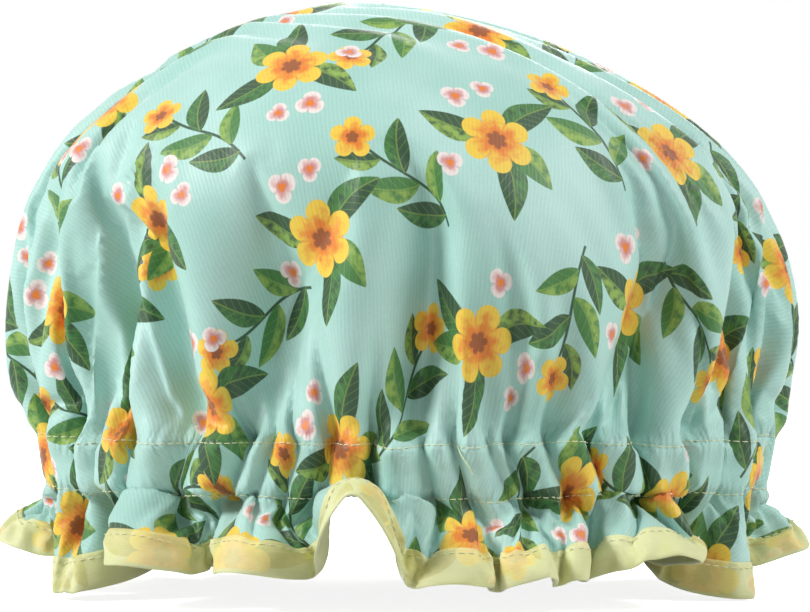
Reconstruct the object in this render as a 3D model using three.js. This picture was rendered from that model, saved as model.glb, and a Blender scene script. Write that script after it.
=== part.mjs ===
// A gathered shower cap: a printed cloth oval over a waterproof lining, drawn in by an
// elastic band that runs in a sewn channel, with a bound ruffle below the channel.
// Millimetres, +Z up. The cap stands on its hem at z = 0 and its front faces -Y.
import * as THREE from "three";

// Driving dimensions of the puffed crown
const CAP_WIDTH = 279;
const CAP_DEPTH = 206;
const CROWN_HEIGHT = 111; // from the widest line up to the top
const CROWN_DROP = 36; // from the widest line down to the upper row of stitches
const CROWN_LEAN = 16; // how far the top leans towards -X

// Driving dimensions of the elastic and the channel that holds it
const MOUTH_WIDTH = 234; // across the outer face of the elastic
const MOUTH_DEPTH = 160;
const ELASTIC_WIDTH = 12;
const ELASTIC_THICKNESS = 1;
const ROW_MARGIN = 2.8; // from an edge of the elastic to the row of stitches beside it
const JOIN_HEIGHT = 8; // of the zigzag that holds the lapped ends of the elastic

// Driving dimensions of the ruffle
const RUFFLE_DROP = 36; // from the lower row of stitches down to the hem
const HEM_INWARD = 1; // how far the hem turns in at a valley, from the row above it
const HEM_OUTWARD = 15; // how far it flares at a ridge
const HEM_LIFT = 5; // how far an ordinary ridge lifts off the ground
const ARCH_LIFT = 25; // the one ridge at the front that arches up
const ARCH_OUTWARD = 24;
const ARCH_LEAN_DEG = 35; // of the binding on that arch, from upright

// Cloth, thread and clearance
const OUTER_THICKNESS = 0.6;
const LINING_THICKNESS = 0.4;
const BINDING_WIDTH = 12;
const BINDING_THICKNESS = 0.6;
const BINDING_SEAM = 2; // from the binding's edge to the stitches along it
const THREAD = 0.6;
const GAP = 0.4; // between any two pieces that lie on each other
const BOBBIN_OFFSET = 1.2; // of an inner thread from its row, clear of the bend round the elastic

// Depth of the gathers, from ridge to valley, down the cap
const SHOULDER_FOLD = 3;
const WAIST_FOLD = 8;
const UPPER_ROW_FOLD = 9;
const LOWER_ROW_FOLD = 5;

// Where each main gather has its ridge, in degrees round from the front towards +X
const RIDGES_DEG = [
  -82, -62, -44, -28, -7, 10, 26, 42, 60, 80, 103, 126, 149, 172, 195, 218, 240, 260,
];
const ARCH_AT_DEG = -7; // the ridge above the arch
const LAP_AT_DEG = 172; // the ridge at the back where the elastic's ends lap
const LAP_SAMPLES = 2;
const SAMPLES_PER_FOLD = 4; // ridge, slope, valley, slope

// Heights that follow from the driving dimensions
const CHANNEL_HEIGHT = ELASTIC_WIDTH + 2 * ROW_MARGIN;
const LOWER_ROW_Z = RUFFLE_DROP;
const UPPER_ROW_Z = LOWER_ROW_Z + CHANNEL_HEIGHT;
const ELASTIC_BOTTOM_Z = LOWER_ROW_Z + ROW_MARGIN;
const ELASTIC_TOP_Z = ELASTIC_BOTTOM_Z + ELASTIC_WIDTH;
const WAIST_Z = UPPER_ROW_Z + CROWN_DROP;

// Depths below the outer face of the cloth, where the layers lie on each other
const LINING_DEPTH = OUTER_THICKNESS + GAP;
const CLOTH_DEPTH = LINING_DEPTH + LINING_THICKNESS;
const LAPPED_ELASTIC = 2 * ELASTIC_THICKNESS + GAP;
const ELASTIC_ROOM = LAPPED_ELASTIC + GAP + THREAD; // with the zigzag on the lap

// The azimuths at which the folded cloth is worked out. wave is 1 on a ridge and 0 in a
// valley, and arch is the same on the front arch alone.
const samples = RIDGES_DEG.flatMap((ridge, fold) => {
  const next = RIDGES_DEG[fold + 1] ?? RIDGES_DEG[0] + 360;
  return Array.from({ length: SAMPLES_PER_FOLD }, (_, step) => {
    const share = step / SAMPLES_PER_FOLD;
    const wave = (1 + Math.cos(2 * Math.PI * share)) / 2;
    const nearestRidge = share < 0.5 ? fold : fold + 1;
    return {
      azimuth: THREE.MathUtils.degToRad(ridge + (next - ridge) * share),
      wave,
      arch: RIDGES_DEG[nearestRidge] === ARCH_AT_DEG ? wave : 0,
    };
  });
});

const sampleAt = (i) => samples[i % samples.length];

// A point of an ellipse in plan, and the direction straight out from it
function ellipsePoint(width, depth, azimuth) {
  return new THREE.Vector3((width / 2) * Math.sin(azimuth), (-depth / 2) * Math.cos(azimuth), 0);
}

function ellipseOutward(width, depth, azimuth) {
  return new THREE.Vector3(depth * Math.sin(azimuth), -width * Math.cos(azimuth), 0).normalize();
}

// The offset of a bend between two stretches of cloth that keeps both their thicknesses
function mitre(first, second) {
  return first.clone().add(second).divideScalar(1 + first.dot(second));
}

// A station is one line round the cap. It gives a point of the cloth's outer face and the
// outward offset there, at every stride-th sample.
function crownStation(polarDeg, foldDepth, stride) {
  const polar = THREE.MathUtils.degToRad(polarDeg);
  const spread = Math.sin(polar);
  const rise = Math.cos(polar);
  return {
    stride,
    at({ azimuth, wave }) {
      const point = ellipsePoint(CAP_WIDTH * spread, CAP_DEPTH * spread, azimuth);
      const outward = new THREE.Vector3(
        point.x / CAP_WIDTH ** 2,
        point.y / CAP_DEPTH ** 2,
        rise / (4 * CROWN_HEIGHT),
      ).normalize();
      const inset = ellipseOutward(CAP_WIDTH, CAP_DEPTH, azimuth);
      point.addScaledVector(inset, -foldDepth * (1 - wave));
      point.x -= CROWN_LEAN * Math.max(0, rise) ** 3;
      point.z = WAIST_Z + CROWN_HEIGHT * rise;
      return { point, outward };
    },
  };
}

// A point given by its distance out from the elastic's outer face, and its height
function atMouth(azimuth, out, z) {
  const outward = ellipseOutward(MOUTH_WIDTH, MOUTH_DEPTH, azimuth);
  return ellipsePoint(MOUTH_WIDTH, MOUTH_DEPTH, azimuth).addScaledVector(outward, out).setZ(z);
}

function rowOut(wave, z) {
  const foldDepth = THREE.MathUtils.mapLinear(
    z, LOWER_ROW_Z, UPPER_ROW_Z, LOWER_ROW_FOLD, UPPER_ROW_FOLD,
  );
  return GAP + OUTER_THICKNESS + foldDepth * wave;
}

function channelStation(z) {
  return {
    stride: 1,
    at({ azimuth, wave }) {
      return {
        point: atMouth(azimuth, rowOut(wave, z), z),
        outward: ellipseOutward(MOUTH_WIDTH, MOUTH_DEPTH, azimuth),
      };
    },
  };
}

// The ruffle's section at one azimuth, as distances out and up: the row it hangs from,
// the binding's edge and the hem, with the offset of each
function ruffleSection({ wave, arch }) {
  const row = new THREE.Vector2(rowOut(wave, LOWER_ROW_Z), LOWER_ROW_Z);
  const valleyOut = rowOut(0, LOWER_ROW_Z) - HEM_INWARD;
  const lift = HEM_LIFT * Math.max(0, 2 * wave - 1) * (1 - arch) + ARCH_LIFT * arch;
  const flare = THREE.MathUtils.lerp(HEM_OUTWARD * wave, ARCH_OUTWARD, arch);
  const hem = new THREE.Vector2(valleyOut + flare, lift + GAP + BINDING_THICKNESS);
  const hanging = hem.clone().sub(row).normalize();
  const leanDeg = THREE.MathUtils.radToDeg(Math.atan2(hanging.x, -hanging.y));
  const lean = THREE.MathUtils.degToRad(THREE.MathUtils.lerp(leanDeg, ARCH_LEAN_DEG, arch));
  const down = new THREE.Vector2(Math.sin(lean), -Math.cos(lean));
  const edge = hem.clone().addScaledVector(down, -BINDING_WIDTH);
  const toEdge = edge.clone().sub(row).normalize();
  const upperNormal = new THREE.Vector2(-toEdge.y, toEdge.x);
  const lowerNormal = new THREE.Vector2(-down.y, down.x);
  return {
    row: { at: row, offset: mitre(new THREE.Vector2(1, 0), upperNormal) },
    edge: { at: edge, offset: mitre(upperNormal, lowerNormal) },
    hem: { at: hem, offset: new THREE.Vector2(1 / lowerNormal.x, 0) },
  };
}

function ruffleStation(line) {
  return {
    stride: 1,
    at(sample) {
      const { at, offset } = ruffleSection(sample)[line];
      const outward = ellipseOutward(MOUTH_WIDTH, MOUTH_DEPTH, sample.azimuth);
      return {
        point: atMouth(sample.azimuth, at.x, at.y),
        outward: outward.multiplyScalar(offset.x).setZ(offset.y),
      };
    },
  };
}

const upperRow = channelStation(UPPER_ROW_Z);
const lowerRow = ruffleStation("row");
const bindingEdge = ruffleStation("edge");
const hem = ruffleStation("hem");

const STATIONS = [
  crownStation(16, 0, 8),
  crownStation(34, 0, 4),
  crownStation(52, SHOULDER_FOLD / 3, 2),
  crownStation(71, SHOULDER_FOLD, 2),
  crownStation(90, WAIST_FOLD, 1),
  upperRow,
  channelStation(ELASTIC_TOP_Z + GAP),
  channelStation(ELASTIC_BOTTOM_Z - GAP),
  lowerRow,
  bindingEdge,
  hem,
];
const AROUND_ELASTIC = STATIONS.slice(6, 8);

// A point of a station, a given depth below the cloth's outer face
function below(station, sample, depth) {
  const { point, outward } = station.at(sample);
  return point.addScaledVector(outward, -depth);
}

// The lining lies on the outer cloth, but passes inside the elastic
function liningDepth(station, sample) {
  if (!AROUND_ELASTIC.includes(station)) return LINING_DEPTH;
  const { z } = station.at(sample).point;
  return rowOut(sample.wave, z) + ELASTIC_ROOM + GAP;
}

// Collects corners and triangles for one closed body
class Body {
  constructor() {
    this.corners = [];
    this.triangles = [];
  }

  corner(point) {
    return this.corners.push(point.x, point.y, point.z) / 3 - 1;
  }

  triangle(a, b, c) {
    this.triangles.push(a, b, c);
  }

  quad(a, b, c, d) {
    this.triangle(a, b, c);
    this.triangle(a, c, d);
  }

  geometry() {
    const made = new THREE.BufferGeometry();
    made.setAttribute("position", new THREE.Float32BufferAttribute(this.corners, 3));
    made.setIndex(this.triangles);
    made.computeVertexNormals();
    return made;
  }
}

// One face of a sheet: the crown's middle and a ring of corners for each station, joined
// by triangles. A ring may have twice as many corners as the ring above it.
function sheetFace(body, depthAt, facesOut) {
  const triangle = (a, b, c) => (facesOut ? body.triangle(a, b, c) : body.triangle(a, c, b));
  const top = crownStation(0, 0, 1);
  const middle = body.corner(below(top, samples[0], depthAt(top, samples[0])));
  let upper = null;
  for (const station of STATIONS) {
    const used = samples.filter((_, i) => i % station.stride === 0);
    const ring = used.map((s) => body.corner(below(station, s, depthAt(station, s))));
    const next = (i) => ring[(i + 1) % ring.length];
    if (!upper) {
      ring.forEach((corner, i) => triangle(middle, corner, next(i)));
    } else if (upper.length === ring.length) {
      ring.forEach((corner, i) => {
        const above = upper[(i + 1) % upper.length];
        triangle(upper[i], corner, next(i));
        triangle(upper[i], next(i), above);
      });
    } else {
      upper.forEach((corner, i) => {
        const beside = upper[(i + 1) % upper.length];
        triangle(corner, ring[2 * i], ring[2 * i + 1]);
        triangle(corner, ring[2 * i + 1], beside);
        triangle(beside, ring[2 * i + 1], next(2 * i + 1));
      });
    }
    upper = ring;
  }
  return upper;
}

// A sheet of cloth over the whole cap, between two depths, closed along its hem
function sheet(outerDepth, thickness) {
  const body = new Body();
  const outside = sheetFace(body, outerDepth, true);
  const inside = sheetFace(body, (st, s) => outerDepth(st, s) + thickness, false);
  outside.forEach((corner, i) => {
    const j = (i + 1) % outside.length;
    body.quad(corner, inside[i], inside[j], outside[j]);
  });
  return body.geometry();
}

// A bar swept through a list of sections, joined end to end or capped. Each side is split
// from its upper corner, as the sheets are, so that a twisted side lies along the cloth.
function swept(sections, closed) {
  const body = new Body();
  const rings = sections.map((section) => section.map((point) => body.corner(point)));
  const spans = closed ? rings.length : rings.length - 1;
  for (let i = 0; i < spans; i++) {
    const here = rings[i];
    const there = rings[(i + 1) % rings.length];
    here.forEach((corner, k) => {
      const m = (k + 1) % here.length;
      if (sections[i][k].z > sections[i][m].z) body.quad(corner, there[k], there[m], here[m]);
      else body.quad(there[k], there[m], here[m], corner);
    });
  }
  if (!closed) {
    const first = rings[0];
    const last = rings[rings.length - 1];
    for (let k = 1; k < first.length - 1; k++) {
      body.triangle(first[0], first[k], first[k + 1]);
      body.triangle(last[0], last[k + 1], last[k]);
    }
  }
  return body.geometry();
}

// A thread that runs round the cap through a list of points, each with its way out
function threadLoop(path) {
  const half = THREAD / 2;
  const up = new THREE.Vector3(0, 0, half);
  const sections = path.map(({ middle, outward }) => {
    const out = outward.clone().setLength(half);
    return [
      middle.clone().add(out),
      middle.clone().add(up),
      middle.clone().sub(out),
      middle.clone().sub(up),
    ];
  });
  return swept(sections, true);
}

// A thread on a row of stitches, a given depth below the outer face and shifted up or down
function rowThread(station, depth, shift) {
  const path = samples.map((sample) => ({
    middle: below(station, sample, depth).add(new THREE.Vector3(0, 0, shift)),
    outward: ellipseOutward(MOUTH_WIDTH, MOUTH_DEPTH, sample.azimuth),
  }));
  return threadLoop(path);
}

// The lower end of the binding's face at a given depth below the outer cloth
function bindingEnd(sample, depth, drop) {
  return below(hem, sample, depth).sub(new THREE.Vector3(0, 0, drop));
}

// The binding is a folded tape: a leg on each face of the ruffle, and a flat fold below it
function bindingGeometry() {
  const outerLeg = -GAP;
  const innerLeg = CLOTH_DEPTH + GAP;
  const sections = samples.map((sample) => {
    const edge = (depth) => below(bindingEdge, sample, depth);
    return [
      edge(outerLeg - BINDING_THICKNESS),
      edge(outerLeg),
      bindingEnd(sample, outerLeg, GAP),
      bindingEnd(sample, innerLeg, GAP),
      edge(innerLeg),
      edge(innerLeg + BINDING_THICKNESS),
      bindingEnd(sample, innerLeg + BINDING_THICKNESS, GAP + BINDING_THICKNESS),
      bindingEnd(sample, outerLeg - BINDING_THICKNESS, GAP + BINDING_THICKNESS),
    ];
  });
  return swept(sections, true);
}

// A thread along the binding. It turns on the split of each side too, to lie on both halves.
function bindingThread(depth) {
  const share = BINDING_SEAM / BINDING_WIDTH;
  const path = samples.flatMap((sample, i) => {
    const edge = below(bindingEdge, sample, depth);
    const outward = ellipseOutward(MOUTH_WIDTH, MOUTH_DEPTH, sample.azimuth);
    return [sample, sampleAt(i + 1)].map((end) => ({
      middle: edge.clone().lerp(bindingEnd(end, depth, GAP + BINDING_THICKNESS), share),
      outward,
    }));
  });
  return threadLoop(path);
}

// The elastic is a strip whose last stretch laps inside its first
const lapStart = RIDGES_DEG.indexOf(LAP_AT_DEG) * SAMPLES_PER_FOLD;

function elasticGeometry() {
  const lastSample = samples.length + LAP_SAMPLES;
  const sections = [];
  for (let i = 0; i <= lastSample; i++) {
    const { azimuth } = sampleAt(lapStart + i);
    const inset = i < samples.length ? 0 : ELASTIC_THICKNESS + GAP;
    sections.push([
      atMouth(azimuth, -inset, ELASTIC_TOP_Z),
      atMouth(azimuth, -inset - ELASTIC_THICKNESS, ELASTIC_TOP_Z),
      atMouth(azimuth, -inset - ELASTIC_THICKNESS, ELASTIC_BOTTOM_Z),
      atMouth(azimuth, -inset, ELASTIC_BOTTOM_Z),
    ]);
  }
  return swept(sections, false);
}

// The zigzag thread that holds the lap, on its inner face
function joinThreadGeometry() {
  const strokes = 8;
  const depth = LAPPED_ELASTIC + GAP + THREAD / 2;
  const middleZ = (ELASTIC_TOP_Z + ELASTIC_BOTTOM_Z) / 2;
  const start = sampleAt(lapStart).azimuth;
  const finish = sampleAt(lapStart + LAP_SAMPLES).azimuth;
  const path = Array.from({ length: strokes + 1 }, (_, i) => {
    const azimuth = THREE.MathUtils.lerp(start, finish, (i + 1) / (strokes + 2));
    const z = middleZ + (i % 2 ? -0.5 : 0.5) * JOIN_HEIGHT;
    return atMouth(azimuth, -depth, z);
  });
  const round = new THREE.Shape().absarc(0, 0, THREAD / 2, 0, 2 * Math.PI);
  return new THREE.ExtrudeGeometry(round, {
    extrudePath: new THREE.CatmullRomCurve3(path, false, "centripetal"),
    steps: strokes * 4,
    curveSegments: 3,
    bevelEnabled: false,
  });
}

const mintCloth = new THREE.MeshStandardMaterial({ color: 0xa4d9d0, roughness: 0.7 });
const liningFilm = new THREE.MeshStandardMaterial({ color: 0xf1f4f2, roughness: 0.4 });
const yellowTape = new THREE.MeshStandardMaterial({ color: 0xe4e2a4, roughness: 0.5 });
const whiteElastic = new THREE.MeshStandardMaterial({ color: 0xf4f3ee, roughness: 0.85 });
const creamThread = new THREE.MeshStandardMaterial({ color: 0xeef0cf, roughness: 0.6 });

const onOuterCloth = -(GAP + THREAD / 2);
const onLining = CLOTH_DEPTH + GAP + THREAD / 2;
const onOuterBinding = -(2 * GAP + BINDING_THICKNESS + THREAD / 2);
const onInnerBinding = CLOTH_DEPTH + 2 * GAP + BINDING_THICKNESS + THREAD / 2;

const PIECES = [
  ["outer_shell", sheet(() => 0, OUTER_THICKNESS), mintCloth],
  ["waterproof_lining", sheet(liningDepth, LINING_THICKNESS), liningFilm],
  ["elastic_band", elasticGeometry(), whiteElastic],
  ["elastic_join_thread", joinThreadGeometry(), creamThread],
  ["upper_row_needle_thread", rowThread(upperRow, onOuterCloth, 0), creamThread],
  ["upper_row_bobbin_thread", rowThread(upperRow, onLining, BOBBIN_OFFSET), creamThread],
  ["lower_row_needle_thread", rowThread(lowerRow, onOuterCloth, 0), creamThread],
  ["lower_row_bobbin_thread", rowThread(lowerRow, onLining, -BOBBIN_OFFSET), creamThread],
  ["edge_binding", bindingGeometry(), yellowTape],
  ["binding_needle_thread", bindingThread(onOuterBinding), creamThread],
  ["binding_bobbin_thread", bindingThread(onInnerBinding), creamThread],
];

const cap = new THREE.Group();
for (const [name, geometry, material] of PIECES) {
  const piece = new THREE.Mesh(geometry, material);
  piece.name = name;
  cap.add(piece);
}

// The origin is under the middle of the whole cap
const bounds = new THREE.Box3().setFromObject(cap);
const middle = bounds.getCenter(new THREE.Vector3());
cap.position.set(-middle.x, -middle.y, 0);

const showerCap = new THREE.Group();
showerCap.add(cap);
export default showerCap;
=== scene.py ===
import math

import bpy
import numpy as np
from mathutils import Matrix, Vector
from mathutils.bvhtree import BVHTree


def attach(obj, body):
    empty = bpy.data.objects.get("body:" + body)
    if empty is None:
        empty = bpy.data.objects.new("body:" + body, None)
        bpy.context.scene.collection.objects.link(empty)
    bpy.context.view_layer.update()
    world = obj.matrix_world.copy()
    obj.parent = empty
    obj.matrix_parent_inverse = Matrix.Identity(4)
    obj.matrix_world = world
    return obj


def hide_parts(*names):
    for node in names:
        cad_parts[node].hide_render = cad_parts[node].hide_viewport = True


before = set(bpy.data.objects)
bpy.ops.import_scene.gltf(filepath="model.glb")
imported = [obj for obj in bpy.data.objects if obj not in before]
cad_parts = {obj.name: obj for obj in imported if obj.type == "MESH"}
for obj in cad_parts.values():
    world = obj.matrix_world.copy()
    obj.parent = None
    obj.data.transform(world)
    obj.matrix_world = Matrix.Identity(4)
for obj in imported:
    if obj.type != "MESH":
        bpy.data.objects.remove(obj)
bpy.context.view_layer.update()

# The cut of the cap: one oval of cloth, drawn flat as rings of small triangles. Its middle
# becomes the crown, the ring between the two stitch rows the elastic's channel, and what is
# left outside them the ruffle. All lengths of the cloth are in millimetres.
MM, TURN = 0.001, 2 * math.pi
CROWN_WIDTH, CROWN_DEPTH, CROWN_RISE = 276.0, 206.0, 110.0
CROWN_LEAN, CROWN_SHIFT, SHOULDER_BOW = 17.0, 2.5, 0.98
WAIST_Z = 89.6
MOUTH_WIDTH, MOUTH_DEPTH = 234.0, 160.0
MOUTH_MIDDLE = np.array([0.381, 1.269, 0.0])
UPPER_ROW_Z, LOWER_ROW_Z = 53.6, 36.0
CHANNEL = UPPER_ROW_Z - LOWER_ROW_Z
RUFFLE = 36.0
CLOTH_GRID = 4.4

ARC_STEPS = 2000
ROW_ANGLE = math.acos(-(((WAIST_Z - UPPER_ROW_Z) / CROWN_RISE) ** (1 / SHOULDER_BOW)))


def bowed(share):
    """Turns a sine or cosine into that of an oval with fuller shoulders."""
    return np.sign(share) * np.abs(share) ** SHOULDER_BOW


def crown_arc(angle, half_width):
    """Lengths of cloth from the crown's top to each of these angles, over that half width."""
    out, up = np.diff(bowed(np.sin(angle))), np.diff(bowed(np.cos(angle)))
    return np.append(0, np.cumsum(np.hypot(half_width * out, CROWN_RISE * up)))


def crown_reach(half_width):
    """Length of cloth from the crown's top to the upper stitch row, over that half width."""
    return float(crown_arc(np.linspace(0, ROW_ANGLE, ARC_STEPS), half_width)[-1])


SIDE_REACH = crown_reach(CROWN_WIDTH / 2)
CUT_RADIUS = SIDE_REACH + CHANNEL + RUFFLE
crown_rings = np.linspace(0, SIDE_REACH, round(SIDE_REACH / CLOTH_GRID) + 1)
channel_rings = SIDE_REACH + np.array([2.4, 6.6, 11.0, 15.2])
BINDING_WIDTH, BINDING_RINGS, RUFFLE_RINGS = 12.0, 3, 6
ruffle_rings = np.linspace(SIDE_REACH + CHANNEL, CUT_RADIUS - BINDING_WIDTH, RUFFLE_RINGS)
binding_rings = np.linspace(CUT_RADIUS - BINDING_WIDTH, CUT_RADIUS, BINDING_RINGS + 1)
ring_along = np.concatenate([crown_rings, channel_rings, ruffle_rings, binding_rings[1:]])
RINGS = len(ring_along) - 1

ring_start = [0]
along, azimuth = [0.0], [0.0]
for k in range(1, RINGS + 1):
    ring_start.append(len(along))
    along += [ring_along[k]] * (6 * k)
    azimuth += [TURN * i / (6 * k) for i in range(6 * k)]
along, azimuth = np.array(along), np.array(azimuth)
east, south = np.sin(azimuth), np.cos(azimuth)

cloth_faces = []
for k in range(1, RINGS + 1):
    for side in range(6):
        for j in range(k):
            first = ring_start[k] + side * k + j
            second = ring_start[k] + (side * k + j + 1) % (6 * k)
            if k == 1:
                cloth_faces.append((0, first, second))
                continue
            inner = ring_start[k - 1] + (side * (k - 1) + j) % (6 * (k - 1))
            cloth_faces.append((inner, first, second))
            if j < k - 1:
                beside = ring_start[k - 1] + (side * (k - 1) + j + 1) % (6 * (k - 1))
                cloth_faces.append((inner, second, beside))

turn = np.linspace(0, TURN, 73)
half_widths = np.hypot(CROWN_WIDTH / 2 * np.sin(turn), CROWN_DEPTH / 2 * np.cos(turn))
reaches = [crown_reach(w) for w in half_widths]
reach = np.interp(azimuth, turn, reaches)
cut_radius = np.minimum(along / SIDE_REACH, 1) * reach + np.maximum(along - SIDE_REACH, 0)
flat_cut = np.stack([cut_radius * east, -cut_radius * south], 1)

# Where the gathers want to go: a puffed crown with its long creases, the channel drawn in on
# the elastic, and a ruffle of broad flutes, two of them lifted into arches at the front and the
# back. The simulated cloth is led to this shape and settles round it.
chance = np.random.default_rng(3)
FRONT_GATHERS = [-76, -64.3, -56.8, -48.4, -34.6, -24.8, -21, -16.8, -11.9, -5.1,
                 2.6, 7, 12.7, 15.2, 22.2, 29, 39, 48.7, 59.9, 71.6]
BACK_SPAN, BACK_GATHERS, BACK_WANDER = (84, 272), 16, 3.5
FLUTES = [(-78, 0.6), (-55, 1), (-32, 0.9), (-14, 0.8), (0.6, 0.45), (13, 0.6), (22.2, 0.8), (29, 1),
          (53, 1), (76, 0.6), (98, 1), (119, 0.9), (141, 1), (158, 0.8), (174, 0.9), (202, 0.9),
          (219, 0.9), (237, 1), (258, 1)]
BODY_ROUND = 104.0
back_gathers = np.linspace(*BACK_SPAN, BACK_GATHERS + 1)[:-1]
back_gathers = back_gathers + chance.uniform(-BACK_WANDER, BACK_WANDER, BACK_GATHERS)


class Tucks:
    """Folds round the cap: how deep each point lies, the fold's width and its slip to the side."""

    def __init__(self, tucks, lean, angle):
        tucks = sorted(tucks)
        tuck = np.radians([t for t, _ in tucks])
        edges = np.append(tuck, tuck[0] + TURN)
        turned = np.mod(angle - edges[0], TURN) + edges[0]
        index = np.clip(np.searchsorted(edges, turned, side="right") - 1, 0, len(tuck) - 1)
        gap = edges[index + 1] - edges[index]
        share = (turned - edges[index]) / gap
        skew = chance.uniform(-lean, lean, len(tuck))[index]
        share = share + skew * np.sin(TURN * share) / TURN
        nearest = np.where(share < 0.5, index, (index + 1) % len(tuck))
        self.inside = (1 + np.cos(TURN * share)) / 2
        self.depth = np.array([d for _, d in tucks])[nearest]
        self.width = gap * BODY_ROUND
        gaps = np.diff(edges)
        self.valley = ((gaps + np.roll(gaps, 1)) / 2 * BODY_ROUND)[nearest]
        self.slip = -np.sin(TURN * share) / TURN * gap
        self.luck = chance.uniform(-1, 1, len(tuck))[index] * (1 - self.inside)


# The gathers run down the channel a little aslant, to one side and the other by turns.
ASLANT, ASLANT_WAVES, ASLANT_FROM, ASLANT_REACH = math.radians(4.0), 3, 0.26, 1.4
GATHER_LUCK, GATHER_SKEW, FLUTE_SKEW = (0.75, 1.2), 0.5, 0.3
below_row = np.clip((along - SIDE_REACH) / CHANNEL, 0, ASLANT_REACH)
leaning = azimuth - ASLANT * np.sin(ASLANT_WAVES * azimuth + ASLANT_FROM) * below_row
all_gathers = [(a, chance.uniform(*GATHER_LUCK)) for a in [*FRONT_GATHERS, *back_gathers]]
gathers = Tucks(all_gathers, GATHER_SKEW, leaning)
flutes = Tucks(FLUTES, FLUTE_SKEW, azimuth)

crown_angle = np.linspace(0, ROW_ANGLE, 2 * ARC_STEPS)
polar = np.interp(np.minimum(along, SIDE_REACH), crown_arc(crown_angle, CROWN_WIDTH / 2), crown_angle)
spread, lift = bowed(np.sin(polar)), bowed(np.cos(polar))
crown_z = WAIST_Z + CROWN_RISE * lift


def unit(vectors):
    """These vectors at length 1."""
    return vectors / np.linalg.norm(vectors, axis=-1, keepdims=True)


def near_height(z, middle, span):
    """1 at that height, fading to 0 over that span above and below it."""
    return np.exp(-((z - middle) / span) ** 2)


# The crown leans to the left, where its shoulder is fuller. Its front hangs over its own foot,
# and both shoulders are drawn in under the top.
LEAN_BEND = 2.5
FULLER, FULLER_Z, SHOULDER_SPAN = 5.0, 143.0, 18.0
OVERHANG, OVERHANG_Z, DRAWN_IN_Z, OVERHANG_SPAN = 9.0, 130.0, 82.0, 24.0
SHOULDER_DRAW, SHOULDER_Z = 8.0, 178.0
left_shoulder = FULLER * np.maximum(-east, 0) ** 3 * near_height(crown_z, FULLER_Z, SHOULDER_SPAN)
crown_lean = CROWN_LEAN * np.maximum(lift, 0) ** LEAN_BEND
led_to = np.stack([CROWN_WIDTH / 2 * spread * east - left_shoulder + CROWN_SHIFT - crown_lean,
                   -CROWN_DEPTH / 2 * spread * south,
                   crown_z], 1)
overhang = near_height(crown_z, OVERHANG_Z, OVERHANG_SPAN) - near_height(crown_z, DRAWN_IN_Z, OVERHANG_SPAN)
led_to[:, 1] -= OVERHANG * overhang * np.maximum(south, 0) ** 2
led_to[:, 0] -= SHOULDER_DRAW * east * near_height(crown_z, SHOULDER_Z, SHOULDER_SPAN)

# Long creases of the crown's front: depth, width to the left and to the right, the length over
# which it fades in, and the points (x, z) it runs through from the top. A narrow side is where
# a panel's edge stands over the crease.
CREASES = [
    (8, 5, 5, 30, [(-126, 147), (-125, 124), (-125, 102), (-119, 90), (-113, 85), (-112, 58)]),
    (9, 5, 5, 30, [(-115, 104), (-110, 60), (-104, 45)]),
    (13, 9, 4, 9, [(-99, 133), (-104, 116), (-105, 80), (-104, 63), (-100, 50)]),
    (15, 9, 4, 9, [(-94, 131), (-87, 109), (-84, 98), (-82, 86), (-78, 70), (-72, 55), (-68, 50)]),
    (9, 6, 4, 30, [(-70, 69), (-61, 58), (-51, 40)]),
    (12, 14, 6, 30, [(-49, 141), (-45, 114), (-43, 95), (-43, 82), (-49, 64), (-51, 41)]),
    (9, 10, 4, 25, [(-16, 152), (-24, 121), (-31, 109), (-39, 95), (-42, 89)]),
    (8, 4, 4, 20, [(-36, 69), (-37, 48)]),
    (8, 4, 4, 20, [(-25, 66), (-27, 48)]),
    (9, 5, 5, 20, [(-8, 71), (-11, 60), (-11, 52)]),
    (12, 12, 5, 30, [(14, 152), (10, 107), (8, 80), (5, 63), (5, 52)]),
    (8, 4, 4, 20, [(28, 78), (27, 55)]),
    (8, 6, 6, 20, [(50, 88), (34, 70), (32, 52)]),
    (9, 5, 5, 20, [(45, 64), (49, 45)]),
    (16, 4, 15, 20, [(97, 126), (88, 103), (81, 86), (72, 65), (65, 46)]),
    (13, 4, 9, 15, [(124, 140), (124, 129), (121, 101), (117, 84), (113, 71), (100, 54), (95, 47)]),
    (7, 5, 5, 30, [(128, 112), (126, 91), (130, 82), (127, 63)]),
]
CREASE_PULL, DEEPEST_CREASE, CREASE_START, SIDE_CALM = 2.8, 38.0, 0.15, 0.7
HELD_FULLY, HELD_NEAR = 14.0, 12.0


def beside_line(line, x, z):
    """How far each place is from that line, whether to its right, and its share of the way along."""
    lengths = [math.dist(a, b) for a, b in zip(line, line[1:])]
    nearest, along_line = np.full(len(x), 1e9), np.zeros(len(x))
    on_right = np.zeros(len(x), bool)
    passed = 0.0
    for (x0, z0), (x1, z1), length in zip(line, line[1:], lengths):
        dx, dz = x1 - x0, z1 - z0
        share = np.clip(((x - x0) * dx + (z - z0) * dz) / length ** 2, 0, 1)
        off = np.hypot(x - x0 - share * dx, z - z0 - share * dz)
        nearer = off < nearest
        on_right = np.where(nearer, dx * (z - z0) - dz * (x - x0) > 0, on_right)
        along_line = np.where(nearer, (passed + share * length) / sum(lengths), along_line)
        nearest = np.minimum(nearest, off)
        passed += length
    return nearest, on_right, along_line


front_x, front_z = led_to[:, 0].copy(), led_to[:, 2].copy()
inset = np.zeros(len(along))
near_crease = np.zeros(len(along))
for depth, left, right, fade_in, line in CREASES:
    nearest, on_right, _ = beside_line(line, front_x, front_z)
    fade = np.clip((line[0][1] - front_z) / fade_in + CREASE_START, 0, 1) * (south > 0)
    inset += depth * np.exp(-(nearest / np.where(on_right, right, left)) ** 2) * fade
    near_crease = np.maximum(near_crease, depth / HELD_FULLY * np.exp(-(nearest / HELD_NEAR) ** 2) * fade)

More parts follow.
